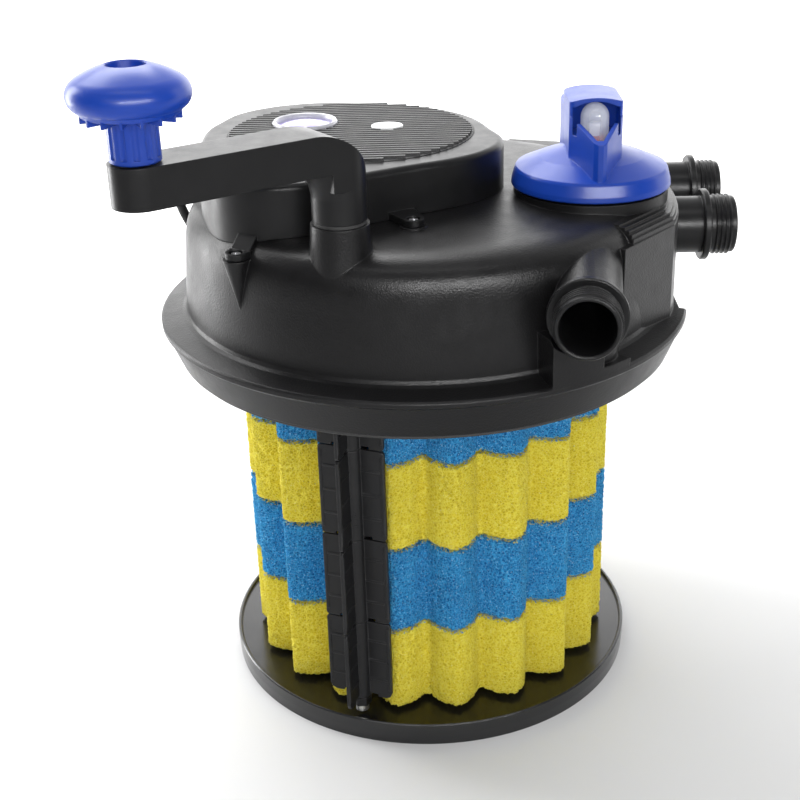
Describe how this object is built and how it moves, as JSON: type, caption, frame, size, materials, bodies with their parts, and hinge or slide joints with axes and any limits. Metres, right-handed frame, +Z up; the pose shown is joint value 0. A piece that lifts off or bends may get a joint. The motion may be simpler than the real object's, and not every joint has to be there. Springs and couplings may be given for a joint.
{
  "type": "pond filter head with rotating foam cartridge",
  "caption": "Pond canister filter head with threaded hose ports, selector dial, crank-driven cleaning rotor and a rotating stack of wavy foam rings on a round tray.",
  "frame": {"origin": "cartridge axis at the underside of the base tray", "axes": "+Z up along the cartridge axis, front port towards -Y, side ports towards +X"},
  "size_m": [0.4449, 0.4558, 0.5242],
  "materials": {
    "lid_plastic": "matte black moulded plastic with a fine pebbled texture",
    "black_plastic": "satin black moulded plastic",
    "tray_plastic": "glossy black moulded plastic",
    "blue_plastic": "glossy blue moulded plastic",
    "grille_plastic": "dark ribbed plastic",
    "foam_yellow": "open-cell reticulated foam, coarse, yellow",
    "foam_blue": "open-cell reticulated foam, fine, blue",
    "rubber": "soft black rubber",
    "steel": "stainless steel",
    "bush_plastic": "natural acetal",
    "clear_plastic": "clear plastic",
    "lens_violet": "violet translucent window",
    "badge_white": "plain white plastic",
    "float_red": "red plastic",
    "float_white": "milky translucent plastic",
    "quartz": "clear quartz",
    "board": "circuit board with potted parts",
    "bezel_plastic": "light grey satin plastic"
  },
  "bodies": {
    "head": {"ballast_board": "board", "ballast_housing": "black_plastic", "blank_badge": "badge_white", "cable_gland": "black_plastic", "carrier_retainer": "black_plastic", "crank_bush": "bush_plastic", "crank_seal": "rubber", "diffuser_plate": "black_plastic", "glow_lens": "lens_violet", "housing_screws": "steel", "inlet_port": "black_plastic", "lamp_socket": "black_plastic", "lens_bezel": "bezel_plastic", "lid_seal": "rubber", "lid_shell": "lid_plastic", "outlet_port": "black_plastic", "power_cable": "rubber", "quartz_sleeve": "quartz", "riser_spigot": "black_plastic", "sleeve_nut": "black_plastic", "stem_bush": "bush_plastic", "uv_lamp": "float_white", "valve_chamber": "black_plastic", "vent_grille": "grille_plastic", "waste_port": "black_plastic"},
    "carrier": {"base_tray": "tray_plastic", "core_tube": "black_plastic", "tray_screws": "steel", "core_bush": "bush_plastic", "foam_clamp": "black_plastic", "sponge_1": "foam_yellow", "sponge_2": "foam_blue", "sponge_3": "foam_yellow", "sponge_4": "foam_blue"},
    "crank": {"crank_arm": "black_plastic", "crank_shaft": "steel", "drive_pin": "steel", "rotor_nut": "black_plastic", "rotor_segment_1": "black_plastic", "rotor_segment_2": "black_plastic", "rotor_segment_3": "black_plastic", "rotor_top_segment": "black_plastic", "grip_pin": "black_plastic"},
    "grip": {"grip_knob": "blue_plastic"},
    "dial": {"selector_dial": "blue_plastic", "valve_stem": "black_plastic", "valve_rotor": "bush_plastic", "valve_nut": "black_plastic", "indicator_capsule": "clear_plastic", "capsule_seal": "rubber"},
    "float": {"float_body": "float_red", "float_stem": "float_white"}
  },
  "joints": [
    {"name": "carrier_spin", "type": "hinge", "parent": "head", "child": "carrier", "pos_m": [0, 0, 0.15], "axis": [0, 0, 1], "continuous": true},
    {"name": "crank_spin", "type": "hinge", "parent": "head", "child": "crank", "pos_m": [-0.05323, -0.14237, 0.3], "axis": [0, 0, 1], "continuous": true},
    {"name": "grip_spin", "type": "hinge", "parent": "crank", "child": "grip", "pos_m": [-0.16423, -0.22009, 0.49], "axis": [0, 0, 1], "continuous": true},
    {"name": "dial_turn", "type": "hinge", "parent": "head", "child": "dial", "pos_m": [0.123, -0.024, 0.4], "axis": [0, 0, 1], "range_deg": [0, 90]},
    {"name": "float_rise", "type": "slide", "parent": "dial", "child": "float", "axis": [0, 0, 1], "range_m": [0, 0.006]}
  ],
  "couplings": [
    {"joint": "crank_spin", "follows": "carrier_spin", "ratio": -4.75}
  ]
}
